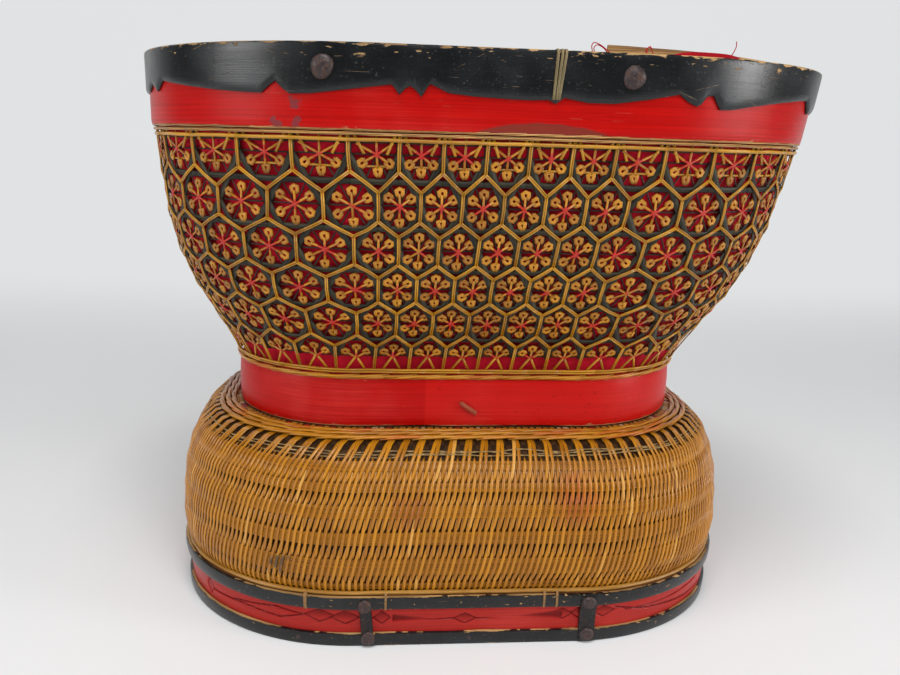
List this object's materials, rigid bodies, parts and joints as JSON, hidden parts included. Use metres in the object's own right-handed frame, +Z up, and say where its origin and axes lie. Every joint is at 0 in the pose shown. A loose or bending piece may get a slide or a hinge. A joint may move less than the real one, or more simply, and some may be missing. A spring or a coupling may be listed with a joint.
{
  "type": "hourglass basket",
  "caption": "Oblong split-bamboo basket with a bulbous close-woven base, a narrow waist and a flaring open-work top lined with red cloth, bound by red and black lacquered bands.",
  "frame": {"origin": "on the floor under the middle of the rim's outline, which is the middle of the bounding box's underside; the foot's own middle lies 12 mm towards -X, because the top has settled sideways", "axes": "+X along the basket's length, to the right of someone who faces its front; -Y towards its front, the side that the picture shows; +Z up to the mouth"},
  "size_m": [0.4104, 0.3222, 0.3362],
  "materials": {
    "red_lacquer": "red lacquer on bamboo, satin, worn at the edges",
    "black_lacquer": "black lacquer on bamboo, satin, worn to tan at the edges",
    "bare_bamboo": "bare split bamboo, matt",
    "golden_cane": "golden varnished cane and splints, satin",
    "woven_bamboo": "golden-brown varnished close weave, satin",
    "red_cloth": "crimson cloth with a soft sheen",
    "wrought_iron": "forged iron, dark and slightly rusted"
  },
  "bodies": {
    "root": {"foot_band": "red_lacquer", "foot_bottom_hoop": "black_lacquer", "foot_top_hoop": "black_lacquer", "foot_cane_edge": "bare_bamboo", "foot_inner_hoop": "bare_bamboo", "base_floor": "woven_bamboo", "floor_slat_left": "bare_bamboo", "floor_slat_right": "bare_bamboo", "lower_body": "woven_bamboo", "shoulder_twine": "golden_cane", "waist_band": "red_lacquer", "waist_inner_hoop": "bare_bamboo", "waist_stitch": "golden_cane", "waist_twine": "golden_cane", "cloth_lining": "red_cloth", "openwork_lattice": "golden_cane", "rim_twine": "golden_cane", "rim_red_band": "red_lacquer", "rim_black_band": "black_lacquer", "rim_inner_hoop": "bare_bamboo", "rim_inner_strip": "bare_bamboo", "rim_lashing": "golden_cane", "foot_strap_front_left": "wrought_iron", "foot_strap_front_right": "wrought_iron", "foot_strap_back_left": "wrought_iron", "foot_strap_back_right": "wrought_iron", "strap_nail_front_left_lower": "wrought_iron", "strap_nail_front_left_upper": "wrought_iron", "strap_nail_front_right_lower": "wrought_iron", "strap_nail_front_right_upper": "wrought_iron", "strap_nail_back_left_lower": "wrought_iron", "strap_nail_back_left_upper": "wrought_iron", "strap_nail_back_right_lower": "wrought_iron", "strap_nail_back_right_upper": "wrought_iron", "rim_nail_front_left": "wrought_iron", "rim_nail_front_right": "wrought_iron", "rim_nail_back_left": "wrought_iron", "rim_nail_back_right": "wrought_iron"}
  },
  "joints": []
}
